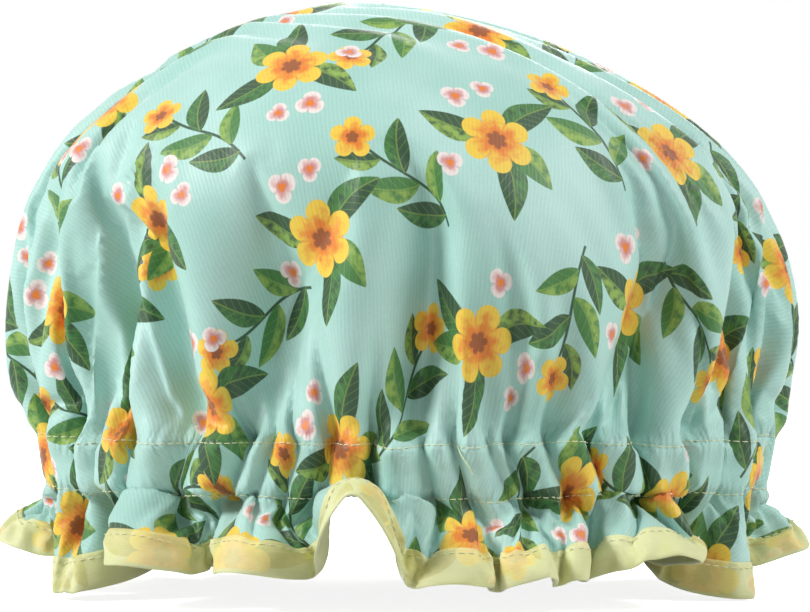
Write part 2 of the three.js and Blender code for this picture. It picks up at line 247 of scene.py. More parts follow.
# The creases of the back fall by chance, at about the spacing of those in front.
BACK_CREASES, FIRST_CREASE, CREASE_STEP, CREASE_FADE = 12, 96, 14.5, 30
CREASE_FOOT, BACK_ROUND, BACK_EDGE = 50, 110, 0.2
for k in range(BACK_CREASES):
    middle = math.radians(FIRST_CREASE + CREASE_STEP * k + chance.uniform(-4, 4))
    top = chance.uniform(80, 150)
    aslant = (front_z - CREASE_FOOT) * chance.uniform(-0.0012, 0.0012)
    off = (np.mod(azimuth - middle + math.pi, TURN) - math.pi + aslant) * BACK_ROUND
    depth, half_width = chance.uniform(7, 12), chance.uniform(5, 9)
    fade = np.clip((top - front_z) / CREASE_FADE + CREASE_START, 0, 1) * (south < BACK_EDGE)
    inset += depth * np.exp(-(off / half_width) ** 2) * fade
inset = np.minimum(inset * CREASE_PULL, DEEPEST_CREASE) * spread * (1 - SIDE_CALM * east ** 6)
outward = unit(np.stack([CROWN_DEPTH * east, -CROWN_WIDTH * south], 1))
led_to[:, :2] -= outward * inset[:, None]


def at_mouth(out, z, slip=0.0):
    """Points that far outside the elastic's line, at that height, slipped round by that angle."""
    side, front = np.sin(azimuth + slip), np.cos(azimuth + slip)
    facing = unit(np.stack([MOUTH_DEPTH * side, -MOUTH_WIDTH * front], 1))
    return np.stack([MOUTH_WIDTH / 2 * side + facing[:, 0] * out,
                     -MOUTH_DEPTH / 2 * front + facing[:, 1] * out, z], 1)


# On the elastic: a wide gather stands out further and is deeper than a narrow one, none lies
# deeper than the elastic's face beside it, and finer waves run over them all.
OVER_ELASTIC, BESIDE_ELASTIC = 1.2, 0.13
RIDGE_OUT, RIDGE_RANGE, RIDGE_SINKS, RIDGE_SIDES = (6, 0.3), (7, 12.5), 0.4, 0.3
GATHER_DEEP, GATHER_RANGE = 0.9, (8, 16)
FINE_GATHERS, FINE_DEPTH, FINE_FADES = (53, 67, 74), 4.5, 0.5
ROW_WANDER = 1.6
down_channel = np.clip((along - SIDE_REACH) / CHANNEL, 0, 1)
down_ruffle = np.clip((along - SIDE_REACH - CHANNEL) / RUFFLE, 0, 1)
beside_elastic = np.clip((0.5 - np.abs(down_channel - 0.5)) / BESIDE_ELASTIC, 0, 1)
gather_top = np.clip(RIDGE_OUT[0] + RIDGE_OUT[1] * gathers.width, *RIDGE_RANGE)
gather_top = gather_top * (1 - RIDGE_SINKS * down_channel) * (1 - RIDGE_SIDES * east ** 2)
gather_depth = np.clip(GATHER_DEEP * gathers.width, *GATHER_RANGE) * gathers.depth
gathered = gather_top - gather_depth * gathers.inside
on_elastic = gather_top - np.minimum(gather_depth, gather_top - OVER_ELASTIC) * gathers.inside
over_elastic = gathered + beside_elastic * (on_elastic - gathered)
fine_waves = sum(np.sin(count * leaning + chance.uniform(0, TURN)) for count in FINE_GATHERS)
over_elastic += FINE_DEPTH * (fine_waves / len(FINE_GATHERS) + 1) / 2 * (1 - FINE_FADES * down_ruffle)
row_wander = ROW_WANDER * gathers.luck

# The ruffle: the main gathers run on into flutes. The hem hangs lowest beside the arch and at
# the sides, and flips up where a front panel's outer corner stands over the panel behind it.
HEM_AT = [-180, -112, -97, -86, -70, -60, -52, -46, -36, -20, 0, 25, 38, 46, 51, 60, 70, 86, 97, 112, 180]
HEM_LIFT = [2, 6, 22, 19, 0, 4, 15, 17, 15.5, 13, 8, 10.5, 15.5, 16, 12, 2, -1, 18, 21, 6, 2]
FLUTE_DEEP, FLUTE_RANGE = 1.05, (12, 44)
FLUTE_OUT, LEAST_FLARE, FLARE_SIDES, FLUTES_OPEN_BY = 4, 11, 0.45, 0.75
ROW_SPRING, SPRUNG_BY = 5, 0.3
GATHER_CLOSED, FLUTE_CLOSED = 0.85, 0.9
degrees = np.degrees(np.mod(azimuth + math.pi, TURN) - math.pi)
hem_lift = np.interp(degrees, HEM_AT, HEM_LIFT)
hang = LOWER_ROW_Z - hem_lift
flare = np.sqrt(np.maximum(RUFFLE ** 2 - hang ** 2, LEAST_FLARE ** 2))
flute_top = FLUTE_OUT + flare * (1 - FLARE_SIDES * east ** 2)
flute_depth = np.clip(FLUTE_DEEP * flutes.valley, *FLUTE_RANGE) * flutes.depth
fluted = flute_top - flute_depth * flutes.inside
opened = np.clip(down_ruffle / FLUTES_OPEN_BY, 0, 1)
opened = opened * opened * (3 - 2 * opened)
sprung = over_elastic + ROW_SPRING * np.clip(down_ruffle / SPRUNG_BY, 0, 1)
ruffle_out = sprung * (1 - opened) + fluted * opened
ruffle_z = UPPER_ROW_Z - CHANNEL * down_channel - hang * down_ruffle + row_wander * (1 - opened)

# The two arches: the angles each one spans, and how far out and how high its middle runs, at
# these shares of the way from the lower row to the hem.
ARCH_STEPS = [0, 0.33, 0.6, 0.72, 1]
ARCHES = [((-14.0, 0.6), [8, 17, 25, 29, 36], [LOWER_ROW_Z, 43.5, 47.5, 47, 39]),
          ((174.0, 202.0), [8, 13, 20, 23, 25], [LOWER_ROW_Z, 43, 46, 44, 33])]
ARCH_SKEW, ARCH_NARROW, ARCHED_BY = 0.9, 1.3, 0.25


def lifted(first, last):
    """How far each point of the ruffle is drawn up into the arch between those two angles."""
    across = np.clip(np.mod(degrees - first, 360) / (last - first), 0, 1)
    return np.sin(math.pi * across ** ARCH_SKEW) ** ARCH_NARROW * np.clip(down_ruffle / ARCHED_BY, 0, 1)


arched = np.zeros(len(along))
for span, arch_out, arch_z in ARCHES:
    share = lifted(*span)
    ruffle_out = ruffle_out * (1 - share) + np.interp(down_ruffle, ARCH_STEPS, arch_out) * share
    ruffle_z = ruffle_z * (1 - share) + np.interp(down_ruffle, ARCH_STEPS, arch_z) * share
    arched = np.maximum(arched, share)
slip = GATHER_CLOSED * gathers.slip * (1 - opened) + FLUTE_CLOSED * flutes.slip * opened * (1 - arched)
below_crown = along >= SIDE_REACH - 0.1
led_to[below_crown] = at_mouth(ruffle_out, ruffle_z, slip)[below_crown]

# Gathering: the flat cut is drawn on to the elastic by cloth simulation, the channel held to
# its gathers, the crown puffed by light pressure and the ruffle left to hang to the ground.
SIM_SCALE = 0.01
START_Z, START_REACH, DOME_EASE, DOME_SPAN = 150, 320, 6.0, 70
GROUND, GROUND_SIDE = -1.05, 9
GATHER_FRAMES, SETTLE_FRAMES = 30, 30
CROWN_HOLD, FOOT_HOLD, HOLD_FADES = 0.55, 0.36, (110, 190)
PANEL_HOLD, CREASE_HOLD, RUFFLE_HOLD, ARCH_HOLD = 0.42, 0.85, 0.85, 0.97
BENDING, CLOTH_GAP = 14, 0.008


def new_mesh(name, points, faces):
    mesh = bpy.data.meshes.new(name)
    mesh.from_pydata(np.asarray(points, float).tolist(), [], faces)
    return mesh


def in_scene(name, data):
    """A new object of the scene that holds this mesh, lamp or camera."""
    made = bpy.data.objects.new(name, data)
    bpy.context.scene.collection.objects.link(made)
    return made


def square(name, side, z):
    """A level square about the middle, with that half side."""
    return in_scene(name, new_mesh(name, [(-side, -side, z), (side, -side, z), (side, side, z),
                                          (-side, side, z)], [(0, 1, 2, 3)]))


def corner_points(mesh):
    """The number of the point at each corner of each face."""
    corners = np.empty(len(mesh.loops), int)
    mesh.loops.foreach_get("vertex_index", corners)
    return corners


def gather_cloth():
    """Runs the gathering and returns the settled points, in millimetres about the mouth."""
    scene = bpy.context.scene
    run = np.linspace(0, START_REACH, 10 * START_REACH + 1)
    eased = run - DOME_EASE * (1 - np.exp(-(run / DOME_SPAN) ** 2))
    fall = np.append(0, np.cumsum(np.sqrt(np.maximum(np.diff(run) ** 2 - np.diff(eased) ** 2, 0))))
    radius = np.interp(cut_radius, run, eased)
    height = START_Z + fall[-1] - np.interp(cut_radius, run, fall)
    start = np.stack([radius * east, -radius * south, height], 1)
    cloth = in_scene("gathering", new_mesh("gathering", start * SIM_SCALE, cloth_faces))
    cloth.shape_key_add(name="Basis")
    drawn_in = cloth.shape_key_add(name="drawn_in")
    drawn_in.data.foreach_set("co", (led_to * SIM_SCALE).ravel().astype(np.float32))

    held = np.interp(along, [0, *HOLD_FADES, SIDE_REACH], [CROWN_HOLD, CROWN_HOLD, FOOT_HOLD, FOOT_HOLD])
    held = np.maximum(held, PANEL_HOLD + (CREASE_HOLD - PANEL_HOLD) * near_crease)
    held = np.where(along > SIDE_REACH, RUFFLE_HOLD, held.round(2))
    held[(along > SIDE_REACH) & (arched > 0.3)] = ARCH_HOLD
    held[(along > SIDE_REACH - 0.1) & (along < SIDE_REACH + CHANNEL + 0.1)] = 1.0
    puffed, bound = (along <= SIDE_REACH + 0.5) * 1.0, (down_ruffle > 0.6) * 1.0
    for name, weights in (("held", held), ("puffed", puffed), ("bound", bound)):
        group = cloth.vertex_groups.new(name=name)
        for weight in np.unique(weights[weights > 0]):
            group.add([int(i) for i in np.nonzero(weights == weight)[0]], float(weight), "REPLACE")

    ground = square("ground", GROUND_SIDE, GROUND * SIM_SCALE)
    ground.modifiers.new("hit", "COLLISION")
    ground.collision.thickness_outer = CLOTH_GAP

    modifier = cloth.modifiers.new("cloth", "CLOTH")
    fabric = modifier.settings
    fabric.quality = 6
    fabric.mass = 0.3
    fabric.tension_stiffness = fabric.compression_stiffness = 40
    fabric.shear_stiffness = 10
    fabric.bending_stiffness = fabric.bending_stiffness_max = BENDING
    fabric.vertex_group_bending = "bound"
    fabric.tension_damping = fabric.compression_damping = fabric.shear_damping = 5
    fabric.bending_damping = 0.5
    fabric.air_damping = 2
    fabric.vertex_group_mass = "held"
    fabric.pin_stiffness = 1
    fabric.effector_weights.gravity = 0.3
    fabric.use_pressure = True
    fabric.uniform_pressure_force = 10
    fabric.vertex_group_pressure = "puffed"
    touch = modifier.collision_settings
    touch.use_collision = True
    touch.distance_min = CLOTH_GAP
    touch.use_self_collision = True
    touch.self_distance_min = 0.012
    touch.self_friction = 2
    touch.collision_quality = 2
    last = GATHER_FRAMES + SETTLE_FRAMES
    modifier.point_cache.frame_start = 1
    modifier.point_cache.frame_end = last
    for value, at in ((0.0, 1), (1.0, GATHER_FRAMES)):
        drawn_in.value = value
        drawn_in.keyframe_insert("value", frame=at)
    for step in range(1, last + 1):
        scene.frame_set(step)
    settled = cloth.evaluated_get(bpy.context.evaluated_depsgraph_get())
    points = np.empty(len(along) * 3)
    settled.data.vertices.foreach_get("co", points)
    bpy.data.objects.remove(cloth)
    bpy.data.objects.remove(ground)
    scene.frame_set(1)
    return points.reshape(-1, 3) / SIM_SCALE


cloth_points = gather_cloth() + MOUTH_MIDDLE


def on_cloth(points, distance, angle):
    """Points of the gathered cloth at that distance from the crown's middle, round the cap."""
    step = np.interp(np.broadcast_to(distance, np.shape(angle)), ring_along, np.arange(RINGS + 1))
    step = np.maximum(step, 1)
    inner = np.minimum(np.floor(step).astype(int), RINGS - 1)
    start = np.array(ring_start)

    def on_ring(ring):
        place = np.mod(angle, TURN) / TURN * 6 * ring
        before = np.floor(place).astype(int)
        share = (place - before)[:, None]
        first = points[start[ring] + before % (6 * ring)]
        return first * (1 - share) + points[start[ring] + (before + 1) % (6 * ring)] * share

    share = (step - inner)[:, None]
    return on_ring(inner) * (1 - share) + on_ring(inner + 1) * share


# Crisp edges on the crown, where one panel stands over the next: which side is on top, the
# step between them, and the points (x, z) the edge runs through.
FOLD_EDGES = [
    ("right", 6.0, [(-100, 131), (-103, 112), (-105, 86), (-104, 68), (-100, 54)]),
    ("right", 7.0, [(-101, 128), (-97, 133), (-93, 129), (-88, 110), (-83, 88), (-77, 69), (-69, 53)]),
    ("right", 4.5, [(-13, 149), (-21, 124), (-30, 108), (-40, 90), (-44, 74)]),
    ("left", 6.5, [(90, 127), (82, 103), (74, 83), (66, 62), (60, 50)]),
    ("left", 5.5, [(122, 141), (121, 118), (117, 98), (110, 76), (98, 57)]),
    ("left", 4.0, [(8, 132), (6, 104), (3, 80), (2, 60)]),
    ("right", 4.0, [(-66, 74), (-60, 62), (-54, 50)]),
    ("left", 4.0, [(44, 84), (36, 70), (33, 54)]),
]
FOLD_SOFT, FOLD_REACH = 2.0, 13.0


def folded_over(points):
    """The same points of the crown's front, stepped at its fold edges."""
    x, z = points[:, 0], points[:, 2]
    facing = np.stack([x / CROWN_WIDTH ** 2, points[:, 1] / CROWN_DEPTH ** 2], 1)
    facing /= np.linalg.norm(facing, axis=1)[:, None] + 1e-12
    shown = np.clip(-facing[:, 1] / 0.25, 0, 1) * np.clip((z - UPPER_ROW_Z - 1) / 9, 0, 1)
    moved = points.copy()
    for top_side, step, line in FOLD_EDGES:
        off, on_right, share = beside_line(line, x, z)
        under = np.where(on_right, off, -off) * (-1 if top_side == "right" else 1)
        ends = np.clip(share / 0.15, 0, 1) * np.clip((1 - share) / 0.12, 0, 1)
        near = np.exp(-off / FOLD_REACH) * ends * shown
        moved[:, :2] -= facing * (np.tanh(under / FOLD_SOFT) * near * step / 2)[:, None]
    return moved


def cloth_layer(name, points):
    """A smooth layer of cloth through these points, with the flat cut as its texture map."""
    mesh = new_mesh(name, points * MM, cloth_faces)
    corners = corner_points(mesh)
    mesh.uv_layers.new(name="flat_cut").data.foreach_set("uv", (flat_cut[corners] * MM).ravel())
    turns = azimuth[corners] / TURN
    turns += np.round(np.repeat(turns[::3], 3) - turns)
    rows = np.stack([along[corners] * MM, turns], 1)
    mesh.uv_layers.new(name="from_middle").data.foreach_set("uv", rows.ravel())
    layer = in_scene(name, mesh)
    layer.modifiers.new("smooth", "SUBSURF").levels = 1
    mesh = bpy.data.meshes.new_from_object(layer.evaluated_get(bpy.context.evaluated_depsgraph_get()))
    layer.modifiers.clear()
    layer.data = mesh
    places = np.empty(len(mesh.vertices) * 3)
    mesh.vertices.foreach_get("co", places)
    mesh.vertices.foreach_set("co", (folded_over(places.reshape(-1, 3) / MM) * MM).ravel())
    mesh.shade_smooth()
    return layer


def surface_of(layer):
    """A quick finder of the nearest point on that layer."""
    places = [v.co for v in layer.data.vertices]
    return BVHTree.FromPolygons(places, [p.vertices for p in layer.data.polygons])


OUTER_THICKNESS = 0.25
outer_cloth = cloth_layer("printed_outer_cloth", cloth_points)
outer_surface = surface_of(outer_cloth)
body = outer_cloth.modifiers.new("body", "SOLIDIFY")
body.thickness = OUTER_THICKNESS * MM
body.offset = -1

# The outer cloth's finish: mint polyester with a fine rib and a soft sheen, printed with
# flowers, leaf sprigs and little trefoils on a half-drop repeat, all drawn on the flat cut.


def paint(red, green, blue):
    """A colour as its screen values from 0 to 255, turned to light values."""
    light = [c / 255 for c in (red, green, blue)]
    return tuple(c / 12.92 if c <= 0.04045 else ((c + 0.055) / 1.055) ** 2.4 for c in light) + (1,)


class Shades:
    """Adds nodes to one shader tree. An input is a socket, a number or a colour."""

    def __init__(self, tree):
        self.tree = tree

    def feed(self, socket, value):
        if isinstance(value, bpy.types.NodeSocket):
            self.tree.links.new(value, socket)
        else:
            socket.default_value = value

    def set(self, made, inputs):
        for name, value in inputs.items():
            self.feed(made.inputs[name], value)

    def node(self, kind, inputs, **settings):
        made = self.tree.nodes.new("ShaderNode" + kind)
        for name, value in settings.items():
            setattr(made, name, value)
        self.set(made, inputs)
        return made.outputs

    def sum(self, operation, *values):
        return self.node("Math", dict(enumerate(values)), operation=operation)[0]

    def times(self, first, second):
        return self.sum("MULTIPLY", first, second)

    def less(self, first, second):
        return self.sum("SUBTRACT", first, second)

    def scaled(self, value, scale, plus):
        return self.sum("MULTIPLY_ADD", value, scale, plus)

    def split(self, place):
        return self.node("SeparateXYZ", {0: place})

    def step(self, value, low, high):
        """0 up to low and 1 from high on, or the other way round where low is the higher."""
        inputs = {"Value": value, "From Min": low, "From Max": high}
        return self.node("MapRange", inputs, interpolation_type="SMOOTHSTEP")[0]

    def mix(self, share, under, over, blend="MIX"):
        return self.node("Mix", {0: share, 6: under, 7: over}, data_type="RGBA", blend_type=blend)[2]

    def noise(self, place, scale, detail=2.0):
        return self.node("TexNoise", {"Vector": place, "Scale": scale, "Detail": detail})[0]

    def map_in_mm(self, name):
        """The mesh's map of that name, in millimetres."""
        place = self.node("UVMap", {}, uv_map=name)[0]
        return self.node("VectorMath", {0: place, 1: (1000, 1000, 1000)}, operation="MULTIPLY")[0]

    def placed(self, place, x, y, turn_degrees):
        """The plane seen from a motif that stands at (x, y) and is turned."""
        seat = {"Vector": place, "Location": (x, y, 0), "Rotation": (0, 0, math.radians(turn_degrees))}
        return self.node("Mapping", seat, vector_type="TEXTURE")[0]

    def bump(self, height, strength, distance):
        return self.node("Bump", {"Height": height, "Strength": strength, "Distance": distance})[0]


def shade_group(name, inputs, outputs):
    """An empty node group with these named sockets, its input node and its output node."""
    tree = bpy.data.node_groups.new(name, "ShaderNodeTree")
    for label, kind in inputs.items():
        tree.interface.new_socket(label, in_out="INPUT", socket_type="NodeSocket" + kind)
    for label, kind in outputs.items():
        tree.interface.new_socket(label, in_out="OUTPUT", socket_type="NodeSocket" + kind)
    return Shades(tree), tree.nodes.new("NodeGroupInput").outputs, tree.nodes.new("NodeGroupOutput").inputs


def new_finish(name):
    """A material with its Principled shader, and the helper that adds nodes to it."""
    finish = bpy.data.materials.new(name)
    finish.use_nodes = True
    return finish, Shades(finish.node_tree), finish.node_tree.nodes["Principled BSDF"]


# A leaf lies along +x from its stalk; its outline is a sine, split by a pale rib.
leaf, have, give = shade_group("printed_leaf", {"Place": "Vector", "Length": "Float", "Width": "Float"},
                               {"Mask": "Float", "Rib": "Float", "Lit side": "Float"})
xyz = leaf.split(have["Place"])
share = leaf.sum("DIVIDE", xyz[0], have["Length"])
inside = leaf.sum("MINIMUM", leaf.sum("MAXIMUM", share, 0.0), 1.0)
bow = leaf.sum("SINE", leaf.times(leaf.sum("POWER", inside, 0.8), math.pi))
bend = leaf.times(leaf.times(bow, have["Width"]), 0.18)
across = leaf.less(xyz[1], bend)
off_rib = leaf.sum("ABSOLUTE", across)
half = leaf.times(leaf.times(leaf.sum("POWER", bow, 0.85), have["Width"]), 0.5)
leaf.feed(give["Mask"], leaf.step(leaf.less(half, off_rib), 0.0, 0.35))
veins = leaf.sum("SINE", leaf.times(leaf.less(xyz[0], off_rib), 1.9))
vein = leaf.times(leaf.step(veins, 0.8, 1.0), 0.5)
leaf.feed(give["Rib"], leaf.sum("MAXIMUM", leaf.less(1.0, leaf.step(off_rib, 0.1, 0.45)), vein))
leaf.feed(give["Lit side"], leaf.step(across, -0.3, 0.9))

# A flower has round petals about a small heart; a trefoil is one with three petals.
bloom, have, give = shade_group("printed_flower", {"Place": "Vector", "Radius": "Float", "Petals": "Float"},
                                {"Mask": "Float", "Heart": "Float", "Run": "Float", "Split": "Float"})
xyz = bloom.split(have["Place"])
angle = bloom.sum("ARCTAN2", xyz[1], xyz[0])
half_turn = bloom.times(bloom.times(angle, have["Petals"]), 0.5)
petal = bloom.sum("ABSOLUTE", bloom.sum("COSINE", half_turn))
edge = bloom.times(bloom.scaled(bloom.sum("POWER", petal, 0.55), 0.42, 0.58), have["Radius"])
from_heart = bloom.node("VectorMath", {0: have["Place"]}, operation="LENGTH")["Value"]
bloom.feed(give["Mask"], bloom.step(bloom.less(edge, from_heart), 0.0, 0.35))
run = bloom.sum("DIVIDE", from_heart, edge)
bloom.feed(give["Run"], run)
bloom.feed(give["Heart"], bloom.less(1.0, bloom.step(run, 0.24, 0.33)))
bloom.feed(give["Split"], bloom.less(1.0, bloom.step(petal, 0.04, 0.32)))

MINT, MINT_PALE = paint(162, 206, 195), paint(184, 222, 214)
LEAF_DARK, LEAF_MID, LEAF_LIGHT = paint(43, 76, 50), paint(66, 120, 62), paint(140, 173, 84)
PETAL_YELLOW, PETAL_ORANGE, HEART_BROWN = paint(238, 202, 74), paint(226, 128, 48), paint(150, 84, 42)
TREFOIL_PALE, TREFOIL_PINK = paint(238, 226, 222), paint(206, 140, 138)
REPEAT = 68.0
RIB_PITCH = 1.4

print_, have, give = shade_group("flat_print", {"Place": "Vector"}, {"Colour": "Color"})
plane = have["Place"]


def repeat_cell(shift_x, shift_y, salt):
    """The plane about the middle of each cell of a half-drop repeat, each cell turned its own way."""
    xyz = print_.split(plane)
    u = print_.scaled(xyz[0], 1 / REPEAT, shift_x)
    column = print_.sum("FLOOR", u)
    v = print_.scaled(xyz[1], 1 / REPEAT, shift_y)
    v = print_.scaled(print_.sum("FLOORED_MODULO", column, 2.0), 0.5, v)
    row = print_.sum("FLOOR", v)
    x = print_.times(print_.less(print_.less(u, column), 0.5), REPEAT)
    y = print_.times(print_.less(print_.less(v, row), 0.5), REPEAT)
    cell = print_.node("CombineXYZ", {0: column, 1: row, 2: salt})[0]
    luck = print_.node("TexWhiteNoise", {"Vector": cell}, noise_dimensions="3D")["Value"]
    local = print_.node("CombineXYZ", {0: x, 1: y})[0]
    spin = print_.times(luck, TURN)
    return print_.node("VectorRotate", {"Vector": local, "Angle": spin}, rotation_type="Z_AXIS")[0]


brush = print_.noise(plane, 0.32, 3.0)


def print_leaf(under, place, x, y, turn_degrees, length, width, dark, light):
    seen = print_.placed(place, x, y, turn_degrees)
    made = print_.node("Group", {"Place": seen, "Length": length, "Width": width}, node_tree=leaf.tree)
    lit = print_.times(made["Lit side"], print_.step(brush, 0.32, 0.6))
    green = print_.mix(lit, dark, light)
    green = print_.mix(print_.times(made["Rib"], 0.55), green, LEAF_LIGHT)
    return print_.mix(made["Mask"], under, green)


def print_flower(under, place, x, y, radius, petals, inner, outer, heart):
    seen = print_.placed(place, x, y, 20.0)
    made = print_.node("Group", {"Place": seen, "Radius": radius, "Petals": petals}, node_tree=bloom.tree)
    blush = print_.sum("ADD", made["Run"], print_.scaled(brush, 0.9, -0.45))
    colour = print_.mix(print_.step(blush, 0.3, 0.85), inner, outer)
    colour = print_.mix(print_.times(made["Split"], 0.6), colour, inner)
    colour = print_.mix(made["Heart"], colour, heart)
    return print_.mix(made["Mask"], under, colour)


def print_stem(under, place, x0, x1):
    xyz = print_.split(place)
    wave = print_.times(print_.sum("SINE", print_.times(xyz[0], 0.12)), 2.0)
    off_stem = print_.sum("ABSOLUTE", print_.less(xyz[1], wave))
    thin = print_.step(off_stem, 0.7, 0.3)
    within = print_.times(print_.step(xyz[0], x0, x0 + 0.5), print_.step(xyz[0], x1, x1 - 0.5))
    return print_.mix(print_.times(thin, within), under, LEAF_DARK)


colour = print_.mix(print_.step(print_.noise(plane, 0.02), 0.3, 0.7), MINT, MINT_PALE)
sprig = repeat_cell(0.5, 0.25, 7.0)
colour = print_stem(colour, sprig, -24.0, 20.0)
for x, y, turn_degrees, length, width, dark, light in (
        (-20, -2, 40, 20, 9, LEAF_DARK, LEAF_MID), (-15, -2, -48, 18, 8, LEAF_MID, LEAF_LIGHT),
        (-6, -1, 46, 21, 9, LEAF_MID, LEAF_LIGHT), (0, 0, -44, 20, 9, LEAF_DARK, LEAF_MID),
        (9, 2, 38, 16, 7, LEAF_DARK, LEAF_LIGHT)):
    colour = print_leaf(colour, sprig, x, y, turn_degrees, length, width, dark, light)
colour = print_flower(colour, sprig, 21, 2, 8.0, 5.0, PETAL_ORANGE, PETAL_YELLOW, HEART_BROWN)
cluster = repeat_cell(0.0, 0.0, 3.0)
for turn_degrees, length, dark, light in ((28, 25, LEAF_DARK, LEAF_MID), (70, 20, LEAF_MID, LEAF_LIGHT),
                                          (150, 26, LEAF_DARK, LEAF_MID), (268, 24, LEAF_DARK, LEAF_LIGHT)):
    x, y = 4 * math.cos(math.radians(turn_degrees)), 4 * math.sin(math.radians(turn_degrees))
    colour = print_leaf(colour, cluster, x, y, turn_degrees, length, 11.0, dark, light)
for x, y, radius in ((-13, -17, 5.5), (-21, -9, 4.5), (16, -13, 5.0)):
    colour = print_flower(colour, cluster, x, y, radius, 3.0, TREFOIL_PINK, TREFOIL_PALE, PETAL_ORANGE)
colour = print_flower(colour, cluster, 0, 0, 13.0, 6.0, PETAL_ORANGE, PETAL_YELLOW, HEART_BROWN)
print_.feed(give["Colour"], colour)

# The rib of the weave, seen as fine lines: a bump, and painted shade of its grooves in the colour, which
# the slub also varies at random; and the dents of the two stitch rows.
DENT_DEPTH, PUCKER_REACH, PUCKER_WIDTH, PUCKER_LENGTH = 4.0, 9.0, 1400.0, 0.3
printed_cloth, weave, surface = new_finish("printed_cloth")
plane = weave.map_in_mm("flat_cut")
colour = weave.node("Group", {"Place": plane}, node_tree=print_.tree)[0]
wander = weave.times(weave.noise(plane, 0.05), 3.0)
across_rib = weave.sum("ADD", weave.split(plane)[0], wander)
rib = weave.sum("SINE", weave.times(across_rib, TURN / RIB_PITCH))
slub = weave.noise(plane, 0.9, 4.0)
# Painted shade: the colour darkens along the rib's grooves, and the slub's tone varies at random.
rib_shade_slub_tone = weave.scaled(rib, 0.035, weave.scaled(slub, 0.14, 0.9))
rib_shade_slub_colour = weave.node("CombineColor", {0: rib_shade_slub_tone, 1: rib_shade_slub_tone, 2: rib_shade_slub_tone})[0]
from_middle = weave.split(weave.node("UVMap", {}, uv_map="from_middle")[0])
distance = weave.times(from_middle[0], 1000.0)
height = weave.scaled(rib, 0.5, slub)
near_rows = 0.0
for row in (SIDE_REACH, SIDE_REACH + CHANNEL):
    off_row = weave.sum("ABSOLUTE", weave.less(distance, row))
    height = weave.scaled(weave.step(off_row, 0.2, 1.6), DENT_DEPTH, height)
    near_rows = weave.sum("MAXIMUM", near_rows, weave.step(off_row, PUCKER_REACH, 1.0))
round_cap, down_cap = weave.times(from_middle[1], PUCKER_WIDTH), weave.times(distance, PUCKER_LENGTH)
pucker = weave.noise(weave.node("CombineXYZ", {0: round_cap, 1: down_cap})[0], 0.28, 1.0)
puckered = weave.bump(weave.times(pucker, near_rows), 0.7, 0.003)
woven = weave.node("Bump", {"Height": height, "Strength": 0.35, "Distance": 0.0001, "Normal": puckered})[0]
weave.set(surface, {"Base Color": weave.mix(1.0, colour, rib_shade_slub_colour, "MULTIPLY"),
                    "Roughness": weave.scaled(slub, 0.16, 0.42), "Normal": woven,
                    "Sheen Weight": 0.25, "Sheen Roughness": 0.4, "Specular IOR Level": 0.4})
outer_cloth.data.materials.append(printed_cloth)
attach(outer_cloth, "root")
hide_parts("outer_shell")

# The lining: a frosted waterproof film of the same cut, sewn in with the outer cloth at both
# rows and at the hem. It runs inside the elastic, so the two layers hold the elastic between.
LINING_GAP, LEAST_GAP, LINING_THICKNESS = 0.5, 0.35, 0.12
UNDER_ELASTIC, UNDER_LAP, ELASTIC_LAP_AT, ELASTIC_LAP = -2.2, -4.6, 177, 9
plain_cloth = new_mesh("plain_cloth", cloth_points, cloth_faces)
cloth_normals = np.empty(len(along) * 3)
plain_cloth.vertex_normals.foreach_get("vector", cloth_normals)
cloth_normals = cloth_normals.reshape(-1, 3)
bpy.data.meshes.remove(plain_cloth)
lining_points = cloth_points - cloth_normals * LINING_GAP
lap = np.exp(-((np.degrees(azimuth) - ELASTIC_LAP_AT) / ELASTIC_LAP) ** 4)
under = UNDER_ELASTIC + (UNDER_LAP - UNDER_ELASTIC) * lap
plain = gathered - LINING_GAP
lining_out = plain + beside_elastic * (np.minimum(plain, under) - plain)
channel_z = UPPER_ROW_Z - CHANNEL * down_channel
in_channel = (along > SIDE_REACH + 0.5) & (along < SIDE_REACH + CHANNEL - 0.5)
lining_points[in_channel] = (at_mouth(lining_out, channel_z + row_wander, slip) + MOUTH_MIDDLE)[in_channel]
lining = cloth_layer("waterproof_film_lining", lining_points)
for vertex in lining.data.vertices:
    above, up, _, _ = outer_surface.find_nearest(vertex.co)
    if (vertex.co - above).dot(up) > -LEAST_GAP * MM:
        vertex.co = above - up * LINING_GAP * MM
lining_surface = surface_of(lining)
body = lining.modifiers.new("body", "SOLIDIFY")
body.thickness = LINING_THICKNESS * MM
body.offset = -1

lining_film, film, surface = new_finish("frosted_film")
plane = film.map_in_mm("flat_cut")
grain = film.noise(plane, 1.6, 3.0)
cloud = film.step(film.noise(plane, 0.04, 3.0), 0.3, 0.7)
film.set(surface, {"Base Color": film.mix(cloud, paint(222, 232, 228), paint(238, 243, 240)),
                   "Roughness": film.scaled(grain, 0.2, 0.28), "Normal": film.bump(grain, 0.25, 0.0001),
                   "Coat Weight": 0.15, "Coat Roughness": 0.3})
lining.data.materials.append(lining_film)
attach(lining, "root")
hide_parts("waterproof_lining")

# The elastic: a knitted band in the channel, its lapped ends zigzagged together at the back.
# Both keep their solids and take a knit and a thread finish.
WALE_PITCH, COURSES = 0.0012, 420.0
knit_elastic, knit, surface = new_finish("knit_elastic")
place = knit.node("TexCoord", {})["Object"]
xyz = knit.split(place)
wale = knit.sum("SINE", knit.times(xyz[2], TURN / WALE_PITCH))
course = knit.sum("SINE", knit.times(knit.sum("ARCTAN2", xyz[1], xyz[0]), COURSES))
loops = knit.scaled(wale, course, 1.0)
# Painted shade: the off-white darkens between the knit's loops, where the bump sinks.
knit_loop_shade = knit.mix(knit.times(loops, 0.5), paint(206, 205, 196), paint(240, 239, 232))
knit.set(surface, {"Base Color": knit_loop_shade,
                   "Roughness": knit.scaled(knit.noise(place, 900.0), 0.2, 0.6),
                   "Normal": knit.bump(loops, 0.6, 0.0002), "Sheen Weight": 0.2})

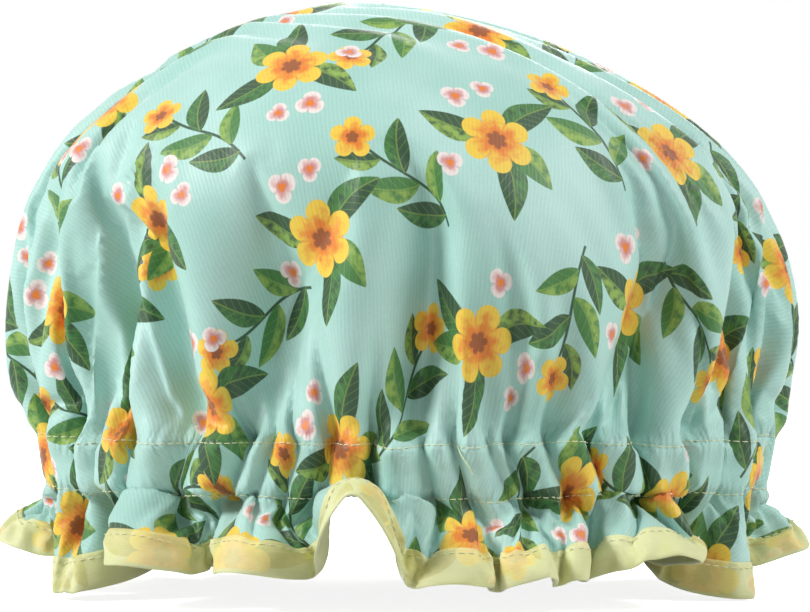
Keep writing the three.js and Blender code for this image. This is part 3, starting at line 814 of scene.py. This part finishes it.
sewing_thread, twist, surface = new_finish("sewing_thread")
fibre = twist.noise(twist.node("TexCoord", {})["Object"], 2600.0)
twist.set(surface, {"Base Color": twist.mix(fibre, paint(214, 216, 166), paint(235, 236, 200)),
                    "Roughness": twist.scaled(fibre, 0.2, 0.4),
                    "Normal": twist.bump(fibre, 0.5, 0.0001), "Sheen Weight": 0.3})

for name, finish in (("elastic_band", knit_elastic), ("elastic_join_thread", sewing_thread)):
    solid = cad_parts[name]
    solid.data.materials.clear()
    solid.data.materials.append(finish)

# The edge binding: pale yellow satin tape folded over the hem, one leg on each face, its two
# ends lapped at the back and the whole held by one row of stitches near its upper edge.
TAPE_THICKNESS, TAPE_OFF_CLOTH, HEM_ROLL, HEM_SLOPE = 0.3, 0.2, 0.6, 3
OUTER_LEG = TAPE_OFF_CLOTH + TAPE_THICKNESS
INNER_LEG = LINING_GAP + LINING_THICKNESS + TAPE_OFF_CLOTH
LAP_AT, LAP_LENGTH, LAP_LOOSE, LAP_OVER = 172.0, 14.0, 0.3, 0.4
LAP_COLUMNS, LAP_ROWS = 7, 6
first_line = ring_start[RINGS - BINDING_RINGS]
tape_points, tape_up = cloth_points[first_line:], cloth_normals[first_line:]
outer_leg = tape_points + tape_up * OUTER_LEG
inner_leg = tape_points - tape_up * INNER_LEG
hem_count = 6 * RINGS
hem_angle = np.arange(hem_count) / hem_count * TURN
hem_down = cloth_points[-hem_count:] - on_cloth(cloth_points, CUT_RADIUS - HEM_SLOPE, hem_angle)
hem_down = unit(hem_down)
rolled = (outer_leg[-hem_count:] + inner_leg[-hem_count:]) / 2 + hem_down * HEM_ROLL
leg_size = len(tape_points)
outer_faces = [tuple(i - first_line for i in f) for f in cloth_faces if min(f) >= first_line]
tape_faces = outer_faces + [tuple(i + leg_size for i in reversed(f)) for f in outer_faces]
for i in range(hem_count):
    j = (i + 1) % hem_count
    out_i, out_j = leg_size - hem_count + i, leg_size - hem_count + j
    roll_i, roll_j = 2 * leg_size + i, 2 * leg_size + j
    tape_faces.append((out_j, out_i, roll_i, roll_j))
    tape_faces.append((roll_j, roll_i, out_i + leg_size, out_j + leg_size))
lap_end = LAP_AT + LAP_LENGTH / CUT_RADIUS / math.radians(1)
lap_turns = np.radians(np.linspace(LAP_AT, lap_end, LAP_COLUMNS))
lap_downs = np.linspace(CUT_RADIUS - BINDING_WIDTH - LAP_OVER, CUT_RADIUS, LAP_ROWS)
lap_stack, lap_rows = TAPE_THICKNESS + LAP_LOOSE, []
for leg_out, downs in ((OUTER_LEG + lap_stack, lap_downs), (-(INNER_LEG + lap_stack), lap_downs[::-1])):
    for down in downs:
        lap_up = on_cloth(cloth_normals, down, lap_turns)
        lap_rows.append(on_cloth(cloth_points, down, lap_turns) + lap_up * leg_out)
lap_down = np.interp(np.degrees(lap_turns), np.degrees(hem_angle), np.arange(hem_count)).round().astype(int)
lap_middle = (lap_rows[LAP_ROWS - 1] + lap_rows[LAP_ROWS]) / 2
lap_rows.insert(LAP_ROWS, lap_middle + hem_down[lap_down] * (HEM_ROLL + lap_stack))
lap_start = 2 * leg_size + hem_count
for r in range(len(lap_rows) - 1):
    for c in range(LAP_COLUMNS - 1):
        corner = lap_start + r * LAP_COLUMNS + c
        tape_faces.append((corner, corner + LAP_COLUMNS, corner + LAP_COLUMNS + 1, corner + 1))
tape_body = np.concatenate([outer_leg, inner_leg, rolled, *lap_rows])
mesh = new_mesh("edge_binding_tape", tape_body * MM, tape_faces)
binding = in_scene("edge_binding_tape", mesh)
leg_down = along[first_line:] - (CUT_RADIUS - BINDING_WIDTH)
leg_turn = azimuth[first_line:]
tape_down = np.concatenate([leg_down, 2 * BINDING_WIDTH - leg_down, np.full(hem_count, BINDING_WIDTH),
                            np.repeat(np.linspace(0, 2 * BINDING_WIDTH, len(lap_rows)), LAP_COLUMNS)])
tape_turn = np.concatenate([leg_turn, leg_turn, hem_angle, np.tile(lap_turns, len(lap_rows))])
corners = corner_points(mesh)
around = tape_turn[corners]
first_corner = np.array([p.loop_start for p in mesh.polygons for _ in p.vertices])
ahead = np.mod(around - around[first_corner] + math.pi, TURN) - math.pi
around = around[first_corner] + ahead
tape_map = np.stack([around * CUT_RADIUS, tape_down[corners]], 1) * MM
mesh.uv_layers.new(name="along_tape").data.foreach_set("uv", tape_map.ravel())
tape_reach = np.interp(tape_turn, turn, reaches) + CHANNEL + RUFFLE - np.abs(tape_down - BINDING_WIDTH)
tape_flat = np.stack([tape_reach * np.sin(tape_turn), -tape_reach * np.cos(tape_turn)], 1) * MM
mesh.uv_layers.new(name="flat_cut").data.foreach_set("uv", tape_flat[corners].ravel())
mesh.shade_smooth()
binding.modifiers.new("smooth", "SUBSURF").levels = 1
body = binding.modifiers.new("body", "SOLIDIFY")
body.thickness = TAPE_THICKNESS * MM
body.offset = -1

# The tape is a little sheer: on its outer leg the print below it shows faintly.
TAPE_DEEP, TAPE_PALE, TAPE_SHEER = paint(211, 204, 110), paint(249, 242, 191), 0.22
WEFT_PITCH = 0.7
binding_tape, satin, surface = new_finish("binding_tape")
ribbon = satin.map_in_mm("along_tape")
xyz = satin.split(ribbon)
weft = satin.sum("SINE", satin.times(xyz[0], TURN / WEFT_PITCH))
warp = satin.noise(satin.node("Mapping", {"Vector": ribbon, "Scale": (0.15, 3.0, 1.0)})[0], 1.0, 3.0)
tone = satin.step(satin.noise(ribbon, 0.05), 0.3, 0.7)
yellow = satin.mix(satin.scaled(warp, 0.5, satin.times(tone, 0.4)), TAPE_DEEP, TAPE_PALE)
below = satin.node("Group", {"Place": satin.map_in_mm("flat_cut")}, node_tree=print_.tree)[0]
outer = satin.step(xyz[1], BINDING_WIDTH, BINDING_WIDTH - 1)
satin.set(surface, {"Base Color": satin.mix(TAPE_SHEER, yellow, satin.mix(outer, MINT, below)),
                    "Roughness": satin.scaled(warp, 0.2, 0.42),
                    "Normal": satin.bump(satin.scaled(weft, 0.4, warp), 0.3, 0.0001),
                    "Sheen Weight": 0.15, "Specular IOR Level": 0.35})
binding.data.materials.append(binding_tape)
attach(binding, "root")
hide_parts("edge_binding")

# The stitching: lockstitch rows above and below the elastic and along the binding, each with a needle
# thread on the outside and a bobbin thread on the lining. Every stitch is modelled but those squeezed
# short, buried in a gather.
STITCH_PITCH, STITCH_LENGTH, THREAD_RADIUS = 3.0, 2.2, 0.18
STITCH_SIDES, BURIED_STITCH, ROW_STEPS, BINDING_SEAM = 6, 0.4, 6000, 2
# A stitch from end to end: the share of its length, its rise off the cloth and its share of girth
STITCH_RINGS = ((0.0, -0.12, 0.45), (0.12, 0.1, 0.9), (0.35, 0.24, 1.0),
                (0.65, 0.24, 1.0), (0.88, 0.1, 0.9), (1.0, -0.12, 0.45))


def settled_on(tree, points):
    """Nearest places on that surface and its directions there, in millimetres."""
    found = [tree.find_nearest(Vector(p * MM)) for p in points]
    return np.array([f[0] for f in found]) / MM, np.array([f[1] for f in found])


def stitch_row(name, distance, tree, points, outside, stand_off, node):
    """A row of separate stitches round the cap, lying on that layer."""
    fine = np.linspace(0, TURN, ROW_STEPS)
    path = on_cloth(points, distance, fine)
    run = np.append(0, np.cumsum(np.linalg.norm(np.diff(path, axis=0), axis=1)))
    count = round(run[-1] / STITCH_PITCH)
    pitch = run[-1] / count
    shift = 0.0 if outside else 0.5
    shares = np.array([s for s, _, _ in STITCH_RINGS])
    at = ((np.arange(count)[:, None] + shift) * pitch + shares[None, :] * STITCH_LENGTH) % run[-1]
    angle = np.interp(at.ravel(), run, fine)
    place, out = settled_on(tree, on_cloth(points, distance, angle))
    if not outside:
        out = -out
    rings = len(STITCH_RINGS)
    place = place.reshape(count, rings, 3)
    shown = np.linalg.norm(place[:, -1] - place[:, 0], axis=1) > BURIED_STITCH * STITCH_LENGTH
    place = place[shown]
    out = out.reshape(count, rings, 3)[shown]
    count = len(place)
    out = unit(out.mean(1, keepdims=True) * np.ones((1, rings, 1)))
    ahead = np.repeat(unit(place[:, -1] - place[:, 0])[:, None, :], rings, 1)
    sideways = unit(np.cross(out, ahead))
    rise = np.array([r for _, r, _ in STITCH_RINGS])[None, :, None]
    girth = np.array([g for _, _, g in STITCH_RINGS])[None, :, None] * THREAD_RADIUS
    centre = place + out * (rise + stand_off)
    rim = []
    for k in range(STITCH_SIDES):
        a = TURN * k / STITCH_SIDES
        rim.append(centre + (sideways * math.cos(a) + out * math.sin(a)) * girth)
    rim = np.stack(rim, 2)
    faces = []
    for s in range(count):
        base = s * rings * STITCH_SIDES
        for r in range(rings - 1):
            for k in range(STITCH_SIDES):
                a, b = base + r * STITCH_SIDES + k, base + r * STITCH_SIDES + (k + 1) % STITCH_SIDES
                faces.append((a, b, b + STITCH_SIDES, a + STITCH_SIDES))
        faces.append(tuple(base + k for k in reversed(range(STITCH_SIDES))))
        faces.append(tuple(base + (rings - 1) * STITCH_SIDES + k for k in range(STITCH_SIDES)))
    mesh = new_mesh(name, rim.reshape(-1, 3) * MM, faces)
    mesh.shade_smooth()
    row = in_scene(name, mesh)
    row.data.materials.append(sewing_thread)
    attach(row, "root")
    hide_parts(node)
    return row


for place, distance, tape in (("upper_row", SIDE_REACH, 0.0), ("lower_row", SIDE_REACH + CHANNEL, 0.0),
                              ("binding", CUT_RADIUS - BINDING_WIDTH + BINDING_SEAM, OUTER_LEG)):
    stitch_row(place + "_needle_stitches", distance, outer_surface, cloth_points, True,
                                tape, place + "_needle_thread")
    stitch_row(place + "_bobbin_stitches", distance, lining_surface, lining_points, False,
                                LINING_THICKNESS + tape, place + "_bobbin_thread")

# One end of the upper row's thread was left long and hangs loose at the front. Each point gives
# its x, its z and how far it stands off the cloth.
LOOSE_END = [(17.2, 53.2, 0.2), (17.9, 51.6, 0.9), (19.6, 49.2, 1.6), (21.0, 46.8, 1.5), (21.8, 44.4, 1.0)]
IN_FRONT = -0.3
strand = bpy.data.curves.new("loose_thread_end", "CURVE")
strand.dimensions = "3D"
strand.bevel_depth = THREAD_RADIUS * MM
strand.bevel_resolution = 2
strand.use_fill_caps = True
run = strand.splines.new("NURBS")
run.points.add(len(LOOSE_END) - 1)
run.use_endpoint_u = True
for point, (x, z, stand_off) in zip(run.points, LOOSE_END):
    hit, up, _, _ = outer_surface.ray_cast(Vector((x * MM, IN_FRONT, z * MM)), Vector((0, 1, 0)))
    point.co = (*(hit + up * stand_off * MM), 1)
curve_object = bpy.data.objects.new("thread_path", strand)
loose_end = in_scene("loose_thread_end", bpy.data.meshes.new_from_object(curve_object))
bpy.data.objects.remove(curve_object)
loose_end.data.materials.append(sewing_thread)
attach(loose_end, "root")
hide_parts("upper_row_needle_thread")

# The studio: a plain white floor that keeps the shadow, a white surround, a soft light high on
# each side and a weaker one behind, and the camera level with the middle of the cap.
WHITE, FLOOR_TONE, STUDIO_GLOW, SURROUND = (1, 1, 1, 1), paint(218, 218, 216), 0.84, 0.16
FLOOR_SIDE, FLOOR_Z, LIGHTS_AIM = 8, -0.0005, Vector((0, 0, 0.1))
floor = square("studio_floor", FLOOR_SIDE, 0)
floor.location.z = FLOOR_Z
floor_finish, ground, surface = new_finish("studio_floor")


def seen_directly(shades):
    """1 for a ray from the camera, off a shiny face or through a clear one, and 0 for the rest."""
    seen = shades.node("LightPath", {})
    passed_on = shades.sum("MAXIMUM", seen["Is Glossy Ray"], seen["Is Transmission Ray"])
    return shades.sum("MAXIMUM", seen["Is Camera Ray"], passed_on)


ground.set(surface, {"Base Color": FLOOR_TONE, "Roughness": 0.9, "Emission Color": WHITE,
                     "Emission Strength": ground.times(seen_directly(ground), STUDIO_GLOW)})
floor.data.materials.append(floor_finish)

world = bpy.data.worlds.new("studio_white")
bpy.context.scene.world = world
world.use_nodes = True
sky = Shades(world.node_tree)
sky.set(world.node_tree.nodes["Background"],
        {"Color": WHITE, "Strength": sky.scaled(seen_directly(sky), STUDIO_GLOW, SURROUND)})

for name, spot, size, power in (("left_light", (-1.3, -0.5, 0.95), 0.45, 24.0),
                                ("right_light", (1.2, -0.4, 1.15), 0.6, 18.0),
                                ("back_light", (0.2, 1.5, 0.9), 0.8, 13.0)):
    lamp = bpy.data.lights.new(name, "AREA")
    lamp.size = size
    lamp.energy = power
    lamp_object = in_scene(name, lamp)
    lamp_object.location = spot
    lamp_object.rotation_euler = (LIGHTS_AIM - Vector(spot)).to_track_quat("-Z", "Y").to_euler()

camera = bpy.data.cameras.new("camera")
camera.lens = 154.5
camera.sensor_width = 36
camera_object = in_scene("camera", camera)
camera_object.location = (0, -1.2, 0.098)
camera_object.rotation_euler = (math.radians(90), 0, 0)
bpy.context.scene.camera = camera_object
bpy.context.scene.view_settings.view_transform = "Standard"

bpy.context.view_layer.update()
